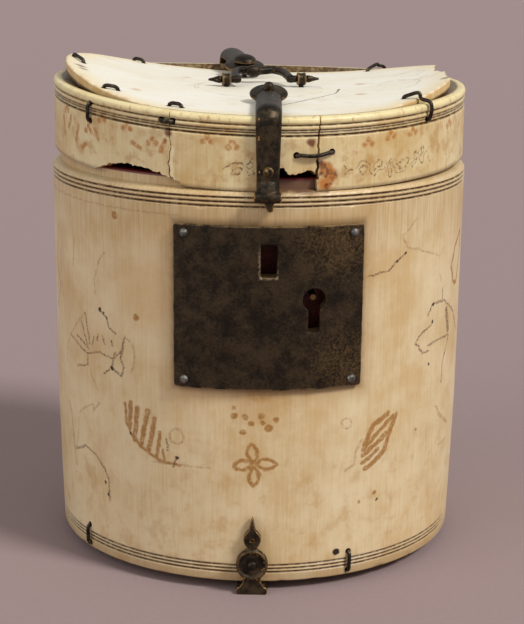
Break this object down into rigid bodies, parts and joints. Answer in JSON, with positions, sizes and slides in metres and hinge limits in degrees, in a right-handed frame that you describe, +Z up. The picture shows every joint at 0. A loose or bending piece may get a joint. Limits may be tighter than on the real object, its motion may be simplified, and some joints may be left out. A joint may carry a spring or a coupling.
{
  "type": "round lidded box",
  "caption": "Round ivory box with a hinged, bowed lid, a curved lock plate, half-round straps, a bail handle, three feet and wire mends.",
  "frame": {"origin": "on the surface the box stands on, under the middle of the box", "axes": "+Z up through the lid, -Y towards the lock plate (the front), +X to the right as seen from the front"},
  "size_m": [0.11, 0.1188, 0.1294],
  "materials": {
    "ivory": "satin",
    "lid_ivory": "satin",
    "lining": "matte",
    "plate_metal": "satin",
    "bronze": "satin",
    "iron_wire": "satin",
    "lock_iron": "matte",
    "rivet_metal": "satin"
  },
  "bodies": {
    "box": {"body_wall": "ivory", "base_disc": "ivory", "wall_lining": "lining", "base_lining": "lining", "base_staple_1": "iron_wire", "base_staple_2": "iron_wire", "base_staple_3": "iron_wire", "base_staple_4": "iron_wire", "lock_plate": "plate_metal", "plate_rivet_1": "rivet_metal", "plate_rivet_2": "rivet_metal", "plate_rivet_3": "rivet_metal", "plate_rivet_4": "rivet_metal", "lock_case": "bronze", "key_post": "lock_iron", "bolt_keeper": "lock_iron", "bolt_guide": "lock_iron", "bolt_spring": "lock_iron", "foot_1": "bronze", "foot_2": "bronze", "foot_3": "bronze", "foot_rivet_1": "bronze", "foot_rivet_2": "bronze", "foot_rivet_3": "bronze", "hinge_leaf": "bronze", "hinge_pin": "lock_iron", "leaf_rivet_1": "bronze", "leaf_rivet_2": "bronze"},
    "bolt": {"lock_bolt": "lock_iron"},
    "lid": {"lid_ring": "ivory", "lid_disc": "lid_ivory", "front_strap": "bronze", "front_strap_rivet": "bronze", "front_strap_nail": "bronze", "rear_strap": "bronze", "rear_strap_rivet": "bronze", "rear_strap_nail": "bronze", "ring_staple_left": "iron_wire", "ring_crack_staple": "iron_wire", "ring_crack_tie": "iron_wire", "disc_staple_left": "iron_wire", "disc_staple_end": "iron_wire", "disc_staple_front": "iron_wire", "disc_staple_back": "iron_wire", "rim_wire_right": "iron_wire", "rim_wire_back": "iron_wire", "bail_eye_1": "bronze", "bail_eye_2": "bronze"},
    "bail": {"bail_handle": "bronze"}
  },
  "joints": [
    {"name": "lid_hinge", "type": "hinge", "parent": "box", "child": "lid", "pos_m": [-0.00944, 0.05702, 0.101], "axis": [-0.9866, -0.1633, 0], "range_deg": [0, 105]},
    {"name": "bail_swing", "type": "hinge", "parent": "lid", "child": "bail", "pos_m": [0.0011, 0.0005, 0.12303], "axis": [0.9877, 0.1564, 0], "range_deg": [0, 160]},
    {"name": "bolt_slide", "type": "slide", "parent": "box", "child": "bolt", "axis": [-0.9985, -0.0541, 0], "range_m": [0, 0.005]}
  ]
}
